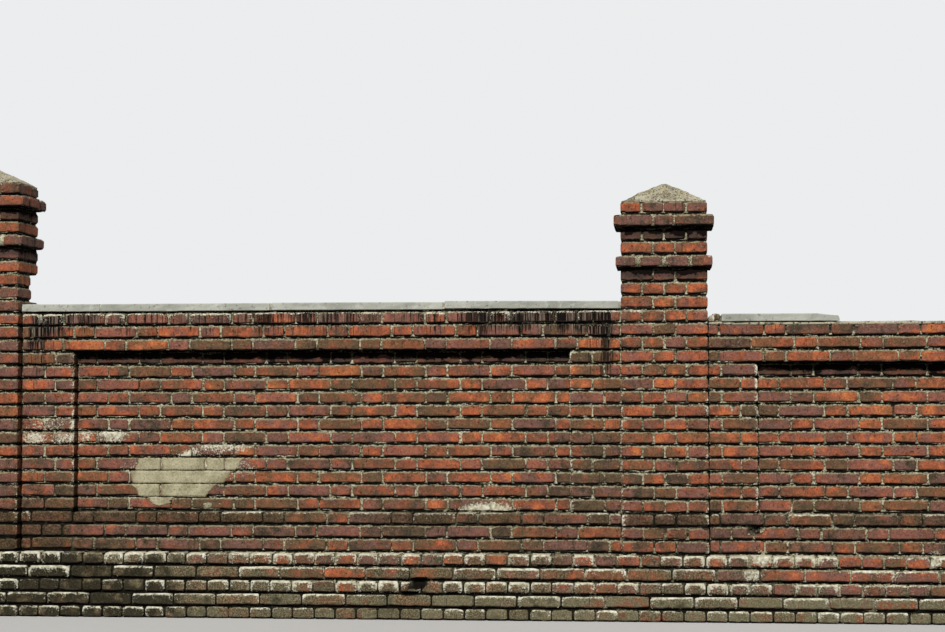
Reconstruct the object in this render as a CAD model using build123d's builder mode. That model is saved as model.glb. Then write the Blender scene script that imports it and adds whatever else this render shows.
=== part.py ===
from build123d import *
import os

# A brick garden wall of piers and recessed panel bays on a stepped plinth, in millimetres.
# +X runs along the wall, the street side faces -Y, +Z is up. The origin is the middle of
# the wall's length and of a pier's depth, at the foot of the lowest course.
# Courses are counted from 1, the lowest. Every course is one brick and one bed joint high.

os.makedirs("parts", exist_ok=True)

# Bricks and joints
brick_length = 250
brick_width = 120
brick_height = 65
head_joint = 10
bed_joint = 15
course = brick_height + bed_joint
stretcher = brick_length + head_joint
header = brick_width + head_joint

# Bays and piers in plan
bays = 3
pitch_stretchers = 16
bay_pitch = pitch_stretchers * stretcher
pier_headers = 4
pier_width = pier_headers * header - head_joint
pier_depth = brick_length + header
# left and right lisene of each bay, as laid
lisene_widths = ((330, 305), (290, 305), (305, 305))
panel_thickness = brick_length
panel_recess = 65

# Plinth: the lowest courses stand out furthest, and each of the last courses steps back
plinth_courses = 5
plinth_tiers = 3
plinth_step = 10

# Heights in courses. The wall drops from left to right, bay by bay and pier by pier.
apron_courses = 3
frieze_courses = 3
first_bay_courses = 23
bay_drop = 1
first_pier_courses = 33
pier_drop = 2

# Pier head: lower corbel, neck, upper corbel, top course and a hipped cap of rough mortar
neck_courses = 2
lower_overhang = 29
upper_overhang = 40
cap_eaves = 10
cap_rise = 115
cap_setback = 6
cap_sections = ((0.0, 1.0), (0.50, 0.56), (0.85, 0.22), (1.0, 0.05))

# Worn arris on the bricks of plinth and corbels, and on the coping slabs
brick_arris = 4
slab_arris = 5

# Coping of concrete slabs, laid from the right pier, but in bay 2 from the left one
slab_length = 1040
slab_thickness = 45
slab_joint = 10
slab_overhang = 8
slab_end_gap = 12
shortest_slab = 60
left_laid_bay = 2
closer_gap = 2
closer_length = 78
closer_height = 48
broken_length = 690
broken_slope = 150
broken_edge = 32
broken_skew = 60
missing_slab = 1

# Two half bricks are gone from the back corner of pier 1, above the coping of bay 1
notched_pier = 1
notch_course = 25
notch_courses = 2

clear = bay_pitch - pier_width
piers = bays + 1
length = bays * bay_pitch + pier_width
pier_front = -pier_depth / 2
wall_back = pier_depth / 2
panel_front = wall_back - panel_thickness
frame_front = panel_front - panel_recess


def foot_of(number):
    """Underside of the bricks of a course."""
    return (number - 1) * course


def top_of(number):
    """Upper face of the bricks of a course, under its bed joint."""
    return foot_of(number) + brick_height


def pier_centre(number):
    return (pier_width - length) / 2 + (number - 1) * bay_pitch


def slab_lengths(run):
    """Whole slabs and a cut one that fill a run, the last two cut alike if that one is a sliver."""
    whole, rest = divmod(run + slab_joint, slab_length + slab_joint)
    lengths = [slab_length] * int(whole)
    if rest > slab_joint + shortest_slab:
        lengths.append(rest - slab_joint)
    elif rest:
        shared = (lengths.pop() + rest) / 2
        lengths += [shared - slab_joint / 2] * 2
    return lengths


def keep(piece, name):
    piece.part.label = name
    export_step(piece.part, f"parts/{name}.step")


def cap_profile(width):
    """The cap seen square on: upright eaves, then slopes that get flatter towards the crown."""
    slope = [(share * width / 2, cap_eaves + rise * cap_rise) for rise, share in cap_sections]
    half = [(width / 2, 0)] + slope
    with BuildSketch(mode=Mode.PRIVATE) as profile:
        with BuildLine():
            Polyline(half + [(-across, up) for across, up in reversed(half)], close=True)
        make_face()
    add(profile.sketch)


def save_block(name, x_span, y_span, z_span):
    """A straight piece of masonry between three pairs of faces."""
    with BuildPart() as block:
        with BuildSketch(Plane.XY.offset(z_span[0])):
            with Locations((sum(x_span) / 2, sum(y_span) / 2)):
                Rectangle(x_span[1] - x_span[0], y_span[1] - y_span[0])
        extrude(amount=z_span[1] - z_span[0])
    keep(block, name)


def save_pier_lift(name, x, overhang, z_foot, z_top, arris=0):
    """One lift of a pier, with an overhang all round, and worn arrises where it stands out."""
    with BuildPart() as lift:
        with BuildSketch(Plane.XY.offset(z_foot)):
            with Locations((x, 0)):
                Rectangle(pier_width + 2 * overhang, pier_depth + 2 * overhang)
        extrude(amount=z_top - z_foot)
        if arris:
            chamfer(lift.edges(), arris)
    keep(lift, name)


# Plinth, in one mass under piers and bays: a low footing tier, then one course for each step
with BuildPart() as plinth:
    for tier in range(plinth_tiers):
        last_course = plinth_courses - plinth_tiers + 1 + tier
        tier_foot = top_of(last_course - 1) if tier else 0
        stand_out = (plinth_tiers - tier) * plinth_step
        with BuildSketch(Plane.XY.offset(tier_foot)):
            Rectangle(length + 2 * stand_out, pier_depth + 2 * stand_out)
        extrude(amount=top_of(last_course) - tier_foot)
        chamfer(plinth.faces().sort_by(Axis.Z)[-1].edges(), brick_arris)
keep(plinth, "plinth")
plinth_top = top_of(plinth_courses)

# Piers
for number in range(1, piers + 1):
    x = pier_centre(number)
    top_course = first_pier_courses - (number - 1) * pier_drop
    upper_corbel = top_course - 1
    lower_corbel = upper_corbel - neck_courses - 1

    with BuildPart() as shaft:
        with BuildSketch(Plane.XY.offset(plinth_top)):
            with Locations((x, 0)):
                Rectangle(pier_width, pier_depth)
        extrude(amount=foot_of(lower_corbel) - plinth_top)
        if number == notched_pier:
            notch_foot = top_of(notch_course - 1)
            with BuildSketch(Plane.XY.offset(notch_foot)):
                with Locations((x + pier_width / 2, wall_back)):
                    Rectangle(header, header, align=(Align.MAX, Align.MAX))
            extrude(amount=foot_of(notch_course + notch_courses) - notch_foot, mode=Mode.SUBTRACT)
    keep(shaft, f"pier_{number}_shaft")

    save_pier_lift(
        f"pier_{number}_lower_corbel", x, lower_overhang,
        foot_of(lower_corbel), top_of(lower_corbel), brick_arris,
    )
    save_pier_lift(f"pier_{number}_neck", x, 0, top_of(lower_corbel), foot_of(upper_corbel))
    save_pier_lift(
        f"pier_{number}_upper_corbel", x, upper_overhang,
        foot_of(upper_corbel), top_of(upper_corbel), brick_arris,
    )
    save_pier_lift(f"pier_{number}_top_course", x, 0, top_of(upper_corbel), top_of(top_course))

    # Cap: two gabled profiles cross, so that hipped faces rise from thin eaves, bulge a little
    # and meet in a blunt crown
    cap_foot = top_of(top_course)
    with BuildPart() as cap:
        with BuildSketch(Plane.XZ.offset(-pier_depth / 2)):
            with Locations((x, cap_foot)):
                cap_profile(pier_width - 2 * cap_setback)
        extrude(amount=pier_depth)
        with BuildSketch(Plane.YZ.offset(x - pier_width / 2)):
            with Locations((0, cap_foot)):
                cap_profile(pier_depth - 2 * cap_setback)
        extrude(amount=pier_width, mode=Mode.INTERSECT)
    keep(cap, f"pier_{number}_cap")

# Bays
for number in range(1, bays + 1):
    left = pier_centre(number) + pier_width / 2
    right = left + clear
    top_course = first_bay_courses - (number - 1) * bay_drop
    sill = top_of(plinth_courses + apron_courses)
    frieze_foot = foot_of(top_course - frieze_courses + 1)
    laid_from_left = number == left_laid_bay
    # the last bed joint belongs to the frieze, but where it lies bare it is a piece of its own
    frieze_top = top_of(top_course) if laid_from_left else foot_of(top_course + 1)
    coping_foot = foot_of(top_course + 1)
    frame_span = (frame_front, wall_back)
    panel_left = left + lisene_widths[number - 1][0]
    panel_right = right - lisene_widths[number - 1][1]

    save_block(f"bay_{number}_apron", (left, right), frame_span, (plinth_top, sill))
    save_block(f"bay_{number}_left_lisene", (left, panel_left), frame_span, (sill, frieze_foot))
    save_block(f"bay_{number}_right_lisene", (panel_right, right), frame_span, (sill, frieze_foot))
    save_block(
        f"bay_{number}_panel", (panel_left, panel_right), (panel_front, wall_back),
        (sill, frieze_foot),
    )
    save_block(f"bay_{number}_frieze", (left, right), frame_span, (frieze_foot, frieze_top))

    # Coping slabs as pairs of start and end along X
    coping_left = left + closer_gap + closer_length if laid_from_left else left
    coping_right = right - slab_end_gap
    slab_spans = []
    laid = 0
    for cut_length in slab_lengths(coping_right - coping_left):
        if laid_from_left:
            slab_spans.append((coping_left + laid, coping_left + laid + cut_length))
        else:
            slab_spans.append((coping_right - laid - cut_length, coping_right - laid))
        laid += cut_length + slab_joint
    coping_front = frame_front - slab_overhang
    coping_depth = wall_back + slab_overhang - coping_front

    with BuildPart() as coping:
        for index, (slab_start, slab_end) in enumerate(slab_spans):
            if laid_from_left and index in (0, missing_slab):
                continue
            with BuildSketch(Plane.XY.offset(coping_foot)):
                with Locations(((slab_start + slab_end) / 2, coping_front + coping_depth / 2)):
                    Rectangle(slab_end - slab_start, coping_depth)
            extrude(amount=slab_thickness)
        chamfer(coping.faces().group_by(Axis.Z)[-1].edges(), slab_arris)

        if laid_from_left:
            # The first slab is broken off: its top falls towards the break, which runs askew
            slab_start = slab_spans[0][0]
            slab_end = slab_start + broken_length
            with BuildSketch(Plane.XZ.offset(-coping_front - coping_depth)):
                with BuildLine():
                    Polyline(
                        (slab_start, coping_foot),
                        (slab_end, coping_foot),
                        (slab_end, coping_foot + broken_edge),
                        (slab_end - broken_slope, coping_foot + slab_thickness),
                        (slab_start, coping_foot + slab_thickness),
                        close=True,
                    )
                make_face()
            extrude(amount=coping_depth)
            with BuildSketch(Plane.XY.offset(coping_foot)):
                with BuildLine():
                    Polyline(
                        (slab_end, coping_front),
                        (slab_end, coping_front + coping_depth),
                        (slab_end - broken_skew, coping_front + coping_depth),
                        close=True,
                    )
                make_face()
            extrude(amount=slab_thickness, mode=Mode.SUBTRACT)
    keep(coping, f"bay_{number}_coping")

    if laid_from_left:
        save_block(f"bay_{number}_mortar_bed", (left, right), frame_span, (frieze_top, coping_foot))

        # A brick bat set in mortar closes the coping against the pier
        closer_left = left + closer_gap
        with BuildPart() as closer:
            with BuildSketch(Plane.XY.offset(coping_foot)):
                with Locations((closer_left + closer_length / 2, sum(frame_span) / 2)):
                    Rectangle(closer_length, wall_back - frame_front)
            extrude(amount=closer_height, taper=6)
        keep(closer, f"bay_{number}_closer")
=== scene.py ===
"""A weathered brick garden wall: every brick, joint, coping slab and pier cap is a surface."""
import math

import bpy
import numpy as np
from mathutils import Matrix, Vector


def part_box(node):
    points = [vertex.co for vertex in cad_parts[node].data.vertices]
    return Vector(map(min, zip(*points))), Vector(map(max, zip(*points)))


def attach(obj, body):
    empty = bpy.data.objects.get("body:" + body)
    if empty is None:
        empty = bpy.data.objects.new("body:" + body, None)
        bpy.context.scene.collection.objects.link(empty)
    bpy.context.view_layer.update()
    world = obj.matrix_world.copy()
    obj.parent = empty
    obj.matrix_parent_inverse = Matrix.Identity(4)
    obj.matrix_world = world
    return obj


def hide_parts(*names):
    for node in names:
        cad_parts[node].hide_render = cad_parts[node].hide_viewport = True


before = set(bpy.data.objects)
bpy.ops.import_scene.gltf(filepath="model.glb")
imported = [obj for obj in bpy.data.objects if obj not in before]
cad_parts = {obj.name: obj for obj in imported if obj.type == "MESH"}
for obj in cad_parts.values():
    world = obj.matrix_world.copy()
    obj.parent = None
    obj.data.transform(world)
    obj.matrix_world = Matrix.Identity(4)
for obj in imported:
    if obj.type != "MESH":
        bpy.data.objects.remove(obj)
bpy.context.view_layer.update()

# Lengths are millimetres here, as in the part's source, and become metres when a mesh is made
MM = 0.001
BRICK_LENGTH, BRICK_WIDTH, BRICK_HEIGHT = 250.0, 120.0, 65.0
JOINT, COURSE = 8.5, 80.0
WALL_BRICK_DEPTH = 110.0
BAYS, PIERS = 3, 4
BAY_PITCH, PIER_WIDTH, FIRST_PIER_X = 4160.0, 510.0, -6240.0
BAY_COURSES = (23, 22, 21)
PIER_COURSES = (33, 31, 29, 27)
PLINTH_COURSES, APRON_COURSES, FRIEZE_COURSES = 5, 3, 3

# The piers' outer faces from the middle of the wall, and how far each plinth course stands out
HALF_LENGTH, HALF_DEPTH = 6495.0, 190.0
PLINTH_STEPS = (30.0, 30.0, 30.0, 20.0, 10.0)

# Two half bricks are gone from the back corner of pier 1
NOTCH, NOTCH_COURSES = 130.0, (25, 26)

# Places in y: the face of aprons, lisenes and friezes, a line between it and the panels' face,
# and a line that parts the street side from the garden side
FRAME_FRONT, PANEL_LINE, STREET_LINE = -125.0, -85.0, 40.0

# Bare ends, left and right of a run or foot and top of a bed, and bare sides of a plan
BOTH, NEITHER = (True, True), (False, False)
ALL_ROUND = (1, 1, 1, 1)

# Bonds, as joint-centred widths from the left end: those of the even courses, then the odd ones
PAIR = (260, 130)
BAND = ((66,) + PAIR * 9 + (74,), (130, 130) + PAIR * 8 + (260,))
BAY_BOND = {
    "apron": BAND,
    "frieze": BAND,
    "left_lisene": ((195, 110), (135, 170)),
    "panel": ((123,) + PAIR * 7 + (135,), (195, 130) + PAIR * 6 + (260, 88)),
    "right_lisene": ((133, 172), (203, 102)),
}
SECOND_BAY_BOND = BAY_BOND | {
    "frieze": (BAND[0], (255, 250, 137, 248, 130, 250, 130) + PAIR * 5 + (130, 170)),
    "left_lisene": ((190, 100), (80, 210)),
}
HEADERS, THREE_QUARTERS = (125, 130, 130, 125), (190, 130, 190)
LOWER_CORBEL, UPPER_CORBEL = (131, 153, 153, 131), (233, 124, 233)
# Plinth courses: a joint's place along the wall and the pitch of the joints
PLINTH_BOND = {
    1: (-4550, 128.7), 2: (-4495, 258.0), 3: (-4549, 128.7), 4: (-4620, 257.5), 5: (-4550, 128.7),
}

# Pale cement, plaster and lichen on the street side: middle x, middle z, half width, half height,
# strength
PALE_PATCHES = (
    (-4950, 890, 350, 70, 0.80), (-5025, 800, 230, 60, 0.70), (-4740, 1010, 190, 34, 0.72),
    (-4960, 968, 60, 14, 0.90), (-5602, 1083, 55, 36, 0.70), (-5430, 1083, 95, 36, 0.90),
    (-5900, 1072, 85, 38, 0.80), (-5725, 1072, 85, 36, 0.66), (-5810, 1152, 160, 34, 0.52),
    (-3134, 655, 160, 32, 1.00), (-1517, 366, 55, 40, 0.95), (-1576, 279, 55, 36, 0.85),
    (-520, 372, 50, 40, 0.85),
)

# Plaster left on bay 1's panel, in flakes between the joints: height of the flake's foot and top,
# its two ends at the foot and its two ends at the top, and how far it bellies, 1 for straight ends
FLAKES = (
    (660, 710, -5150, -5122, -5212, -5052, 0.45), (717, 790, -5262, -5138, -5312, -5138, 1.0),
    (717, 790, -5131, -4851, -5131, -4792, 1.0), (797, 870, -5308, -4742, -5320, -4680, 1.0),
    (877, 948, -5290, -5134, -5268, -5134, 1.0), (877, 948, -5127, -4858, -5127, -4858, 1.0),
    (877, 948, -4850, -4740, -4850, -4740, 1.0), (877, 948, -4732, -4668, -4732, -4621, 1.0),
)

# How much dark run-off hangs under a coping: place along the first bay, strength
RUN_OFF = (
    (-5990, 1.50), (-5720, 1.45), (-5640, 0.95), (-5540, 1.35), (-5470, 0.94), (-5100, 1.02),
    (-4750, 1.00), (-4350, 0.86), (-4200, 1.10), (-3700, 0.92), (-3350, 0.95), (-3150, 1.35),
    (-2330, 1.45),
)

# Corners broken off bricks: middle along the wall, middle height, half width, half height
CHIPS = ((-3530, 216, 36, 30), (-3596, 156, 44, 14), (-1548, 534, 26, 26))

# What is added to a brick's tone in each course, from the lowest up, and nothing above them
COURSE_TONES = (0.25, 0.25, 0.15, 0.15, 0.15, 0.22, 0.22, 0.30, 0.10, 0.06, 0.06, 0.06, 0.0)

# A cap's slopes: share of its rise, share of its width
CAP_SECTIONS = ((0.0, 1.0), (0.50, 0.56), (0.85, 0.22), (1.0, 0.05))
CAP_EAVES = 10.0

# Coping slabs, and the broken one: its length, how far its top falls, along how much of it, and
# how far its end runs askew
SLAB_LENGTH, SLAB_GAP, SLAB_END_GAP = 1040.0, 10.0, 12.0
BROKEN_LENGTH, BROKEN_FALL, BROKEN_SLOPE, BROKEN_SKEW = 690.0, 13.0, 150.0, 60.0

# Fields painted on the vertices: a brick's own tone and its hue, nearness to an arris, painted
# shade on its lower arris, in broken corners and under a ledge with soot there, dark run-off, pale
# crust, and damp dirt, with painted shadow in it to the left
FIELDS = ("tone", "hue", "edge", "under", "soot", "lime", "damp")

rng = np.random.default_rng(1907)


def span(node):
    """Lowest and highest corner of a CAD node in millimetres."""
    low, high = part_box(node)
    return np.array(low, float) / MM, np.array(high, float) / MM


def foot_of(course):
    """Underside of a course's bricks. Courses are counted from 1, the lowest."""
    return (course - 1) * COURSE


def top_of(course):
    """Upper face of a course's bricks, under its bed joint."""
    return foot_of(course) + BRICK_HEIGHT


def ripple(points, size, seed):
    """Smooth noise of about -1 to 1: seven sine waves in seeded directions, about size mm long."""
    spin = np.random.default_rng(seed)
    total = np.zeros(points.shape[:-1])
    for _ in range(7):
        way = spin.normal(size=3)
        way /= np.linalg.norm(way)
        length = size * spin.uniform(0.6, 1.6)
        total += np.sin(points @ way * (2 * math.pi / length) + spin.uniform(0, 2 * math.pi))
    return total / 2.8


def eased(value, start, end):
    """0 up to start, 1 from end on, and a smooth S between. Where start is the higher, it falls."""
    share = np.clip((value - start) / (end - start), 0, 1)
    return share * share * (3 - 2 * share)


# Where a point lies on the wall, what the weather does there, and where painted shade falls


def whereabouts(x):
    """Nearest pier and bay, from 0, the way past the pier's middle, and whether x is on it."""
    along = x - FIRST_PIER_X
    pier = np.clip(np.rint(along / BAY_PITCH), 0, PIERS - 1)
    bay = np.clip(np.floor(along / BAY_PITCH), 0, BAYS - 1)
    aside = along - pier * BAY_PITCH
    corbel_reach = 45
    return pier, bay, aside, np.abs(aside) < PIER_WIDTH / 2 + corbel_reach


def shaded_strip(rise, drop):
    """Painted shade and soot under a ledge: half at drop mm below it, full 40 mm higher."""
    return np.clip((rise + drop + 40) / 80, 0, 1) * (rise < 3)


def weather(points):
    """Where run-off, pale crust, damp and painted shade lie, from a point's place on the wall."""
    x, y, z = points[..., 0], points[..., 1], points[..., 2]
    street = y < STREET_LINE
    pier, bay, aside, on_pier = whereabouts(x)
    wall_top = COURSE * (BAY_COURSES[0] - bay)
    pier_top = COURSE * (PIER_COURSES[0] - 2 * pier)
    rise = z - np.where(on_pier, pier_top, wall_top)

    # Run-off under copings and down pier heads, more beside a pier, little on bay 2's street side
    dripping = np.interp(x - bay * BAY_PITCH, *np.transpose(RUN_OFF)) * eased(rise, -235, -30)
    soot = np.where(on_pier, 0.36 * eased(rise, -620, -60), dripping)
    beside_pier = 1.05 * eased(np.abs(aside), 620, 290) * eased(rise, -760, -150)
    soot = soot + np.where(on_pier, 0.0, beside_pier)
    soot = soot * (0.95 + 0.12 * ripple(points, 700, 3))
    soot = soot * np.where((bay == 1) & ~on_pier & street, 0.22, 1.0)

    # Painted shade at a panel's head and under both corbels, where their shadows fall, with soot
    # there
    frieze_foot = wall_top - FRIEZE_COURSES * COURSE
    in_panel = ~on_pier & (y > PANEL_LINE) & street
    under = np.where(in_panel, shaded_strip(z - frieze_foot, 50), 0.0)
    for corbel_foot, drop in ((pier_top - 2 * COURSE, 47), (pier_top - 5 * COURSE, 41)):
        under = np.maximum(under, np.where(on_pier, shaded_strip(z - corbel_foot, drop), 0.0))

    # Damp, most at the foot and on the ledge over the apron, and a painted shadow to the left
    over_apron = np.abs(z - foot_of(PLINTH_COURSES + APRON_COURSES) - BRICK_HEIGHT // 2)
    damp = 0.10 + 0.30 * eased(z, 430, 300) + 0.70 * eased(z, 230, 130)
    damp = damp + 0.55 * eased(over_apron, 60, 25) + 0.30 * eased(z, 1050, 380)
    # Darker to the left: a painted shadow on the lisene and panel, and on the foot damp dirt with
    # painted shadow
    damp = damp + 0.55 * eased(x, -5250, -5900) * eased(z, 1150, 850)
    damp = damp + 0.45 * eased(x, -4100, -5300) * eased(z, 420, 300)
    damp = np.minimum(damp * (0.85 + 0.3 * ripple(points, 900, 5)), 1.1)
    on_plinth = z < top_of(PLINTH_COURSES) + 5
    # Darker still on the plinth to the left: damp dirt and painted shadow
    damp = damp + 0.6 * eased(x, -4850, -5150) * on_plinth * street

    lime = np.zeros(x.shape)
    for middle_x, middle_z, half_width, half_height, strength in PALE_PATCHES:
        reach = np.hypot((x - middle_x) / half_width, (z - middle_z) / half_height)
        lime = np.maximum(lime, strength * np.clip(1.6 - reach, 0, 1))
    return {
        "soot": np.clip(soot, 0, 1.5), "damp": np.clip(damp, 0, 1.7), "lime": lime * street,
        "under": under,
    }


class Form:
    """Gathers closed shells and makes one mesh of them."""

    def __init__(self):
        self.points, self.loops, self.totals, self.smooth = [], [], [], []
        self.fields = {name: [] for name in FIELDS}
        self.count = 0

    def shells(self, grid, smooth=False, **fields):
        """Closed shells from an (n, k, m, 3) grid of points, its rings anticlockwise from above."""
        n, k, m = grid.shape[:3]
        ring, lower = np.arange(m), np.arange(k - 1)[:, None] * m
        here, after = lower + ring, lower + (ring + 1) % m
        sides = np.stack([here, after, after + m, here + m], axis=-1).ravel()
        quads = len(sides) // 4
        first = self.count + np.arange(n)[:, None] * k * m
        self.loops += [
            (first + sides).ravel(), (first + ring[::-1]).ravel(),
            (first + (k - 1) * m + ring).ravel(),
        ]
        self.totals += [np.full(n * quads, 4), np.full(2 * n, m)]
        self.smooth += [np.full(n * quads, smooth), np.full(2 * n, False)]
        self.points.append(grid.reshape(-1, 3))
        marks = weather(grid) | fields
        for name, values in self.fields.items():
            values.append(np.broadcast_to(marks.get(name, 0.0), grid.shape[:3]).ravel())
        self.count += n * k * m

    def make(self, node, kind, finish, slot):
        """The gathered shells as one object, named after its node and kind, in the node's place."""
        mesh = bpy.data.meshes.new(f"{node}_{kind}")
        points, loops, totals, smooth = (
            np.concatenate(parts) for parts in (self.points, self.loops, self.totals, self.smooth)
        )
        mesh.vertices.add(len(points))
        mesh.vertices.foreach_set("co", (points * MM).astype(np.float32).ravel())
        mesh.loops.add(len(loops))
        mesh.loops.foreach_set("vertex_index", loops.astype(np.int32))
        mesh.polygons.add(len(totals))
        mesh.polygons.foreach_set("loop_start", (np.cumsum(totals) - totals).astype(np.int32))
        mesh.polygons.foreach_set("use_smooth", smooth)
        for field, values in self.fields.items():
            layer = mesh.attributes.new(field, "FLOAT", "POINT")
            layer.data.foreach_set("value", np.concatenate(values).astype(np.float32))
        mesh.update(calc_edges=True)
        mesh.materials.append(finish)
        piece = bpy.data.objects.new(mesh.name, mesh)
        bpy.context.scene.collection.objects.link(piece)
        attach(piece, "root")
        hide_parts(node)


# Bricks are rows of ten: their box, then 1 for each bare side

X0, X1, Y0, Y1, FOOT, TOP, FRONT, RIGHT, BACK, LEFT = range(10)


def course_of(rows):
    """The course in which each brick lies."""
    return np.rint(rows[:, FOOT] / COURSE) + 1


def fitted(widths, total):
    """Joint-centred widths scaled to fill their zone."""
    widths = np.array(widths, float)
    return widths * total / widths.sum()


def lay(course, left, widths, face, depth, ends=NEITHER, joint=JOINT):
    """A course of bricks of joint-centred widths from the left, with their bare face at y = face.

    A depth above 0 runs back from a street face, and one below 0 runs forward from a garden face.
    """
    edges = left + np.concatenate([[0.0], np.cumsum(widths)])
    rows = np.zeros((len(widths), 10))
    rows[:, X0], rows[:, X1] = edges[:-1] + joint / 2, edges[1:] - joint / 2
    rows[:, Y0], rows[:, Y1] = sorted((face, face + depth))
    rows[:, FOOT], rows[:, TOP] = foot_of(course), top_of(course)
    rows[:, FRONT if depth > 0 else BACK] = 1
    if ends[0]:
        rows[0, X0], rows[0, LEFT] = edges[0], 1
    if ends[1]:
        rows[-1, X1], rows[-1, RIGHT] = edges[-1], 1
    return rows


def end_bricks(course, left, right, front, back):
    """The two bricks across the ends of a course, between its front bricks and its back ones."""
    box = front, back, foot_of(course), top_of(course)
    return np.array([
        [left, left + BRICK_WIDTH, *box, 0, 0, 0, 1],
        [right - BRICK_WIDTH, right, *box, 0, 1, 0, 0],
    ])


def round_the_brick(bare, steps):
    """Stations round a brick seen from above, as columns of one row each.

    The columns are the share of the brick's size, the way in which a corner is cut, the outward
    way, the sort (0 hidden, 1 corner, 2 side) and the way along the bare sides from a corner. A
    bare corner is cut off between two stations, a hidden one is a single station, and each side
    has its number of stations evenly between its corners.
    """
    corners = np.array([(0, 0), (1, 0), (1, 1), (0, 1)])
    ways = np.array([(1, 0), (0, 1), (-1, 0), (0, -1)])
    outs = np.array([(0, -1), (1, 0), (0, 1), (-1, 0)])
    rows = []
    for side, (corner, way, out) in enumerate(zip(corners, ways, outs)):
        before, out_before = ways[side - 1], outs[side - 1]
        pull = way * bare[side] - before * bare[side - 1]
        if bare[side] or bare[side - 1]:
            rows.append([*corner, *-before, *(out_before + 0.4 * out), 1, *pull])
            rows.append([*corner, *way, *(out + 0.4 * out_before), 1, *pull])
        else:
            rows.append([*corner, 0, 0, 0, 0, 0, 0, 0])
        for step in range(int(steps[side])):
            share = (step + 1) / (steps[side] + 1)
            rows.append([*(corner + way * share), 0, 0, *out, 2, 0, 0])
    share, cut, outward, sort, pull = np.split(np.array(rows, float), (2, 4, 6, 7), axis=1)
    return share, cut, outward, sort[:, 0], pull


def by_level(*values):
    """A value for each level of a brick: foot, lower arris, two shoulders, upper arris, top."""
    return np.array(values, float)[None, :, None]


SHOULDER = 15.0
RIM = by_level(1, 1, 0, 0, 1, 1)


def fire(rows, arris, setback=2.0, bias=0.0):
    """A form of bricks, each some millimetres out of its place and further back by setback.

    Bricks with like bare sides are shaped together, and bias darkens them all.
    """
    form, rows, n = Form(), rows.copy(), len(rows)
    rows[:, X0] += rng.normal(0, 1.6, n) * (1 - rows[:, LEFT])
    rows[:, X1] += rng.normal(0, 1.6, n) * (1 - rows[:, RIGHT])
    back_off = np.clip(np.abs(rng.normal(0, setback, n)), 0, 4)
    rows[:, Y0] += back_off * rows[:, FRONT]
    rows[:, Y1] -= back_off * rows[:, BACK]
    raised = rows[:, FOOT] > 0
    shift = np.clip(rng.normal(0, 1.2, n), -2.5, 2.5) * raised
    tone, hue = brick_tone(rows)
    tone = np.clip(tone + bias, 0, 1)
    rows[:, FOOT] += shift - raised
    rows[:, TOP] += shift + 2.0
    sizes = np.tile(rows[:, [X1, Y1]] - rows[:, [X0, Y0]], 2)
    bare = rows[:, FRONT:]
    station_pitch, most_stations = 36, 6
    steps = np.clip(np.rint(sizes / station_pitch) - 1, 1, most_stations) * (bare > 0)
    kinds, which = np.unique(np.hstack([bare, steps]), axis=0, return_inverse=True)
    for index, kind in enumerate(kinds):
        alike = which.ravel() == index
        grid, marks = shape_bricks(rows[alike], kind[:4], kind[4:], arris)
        marks |= {"tone": tone[alike, None, None], "hue": hue[alike, None, None]}
        form.shells(grid, **marks)
    return form


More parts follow.
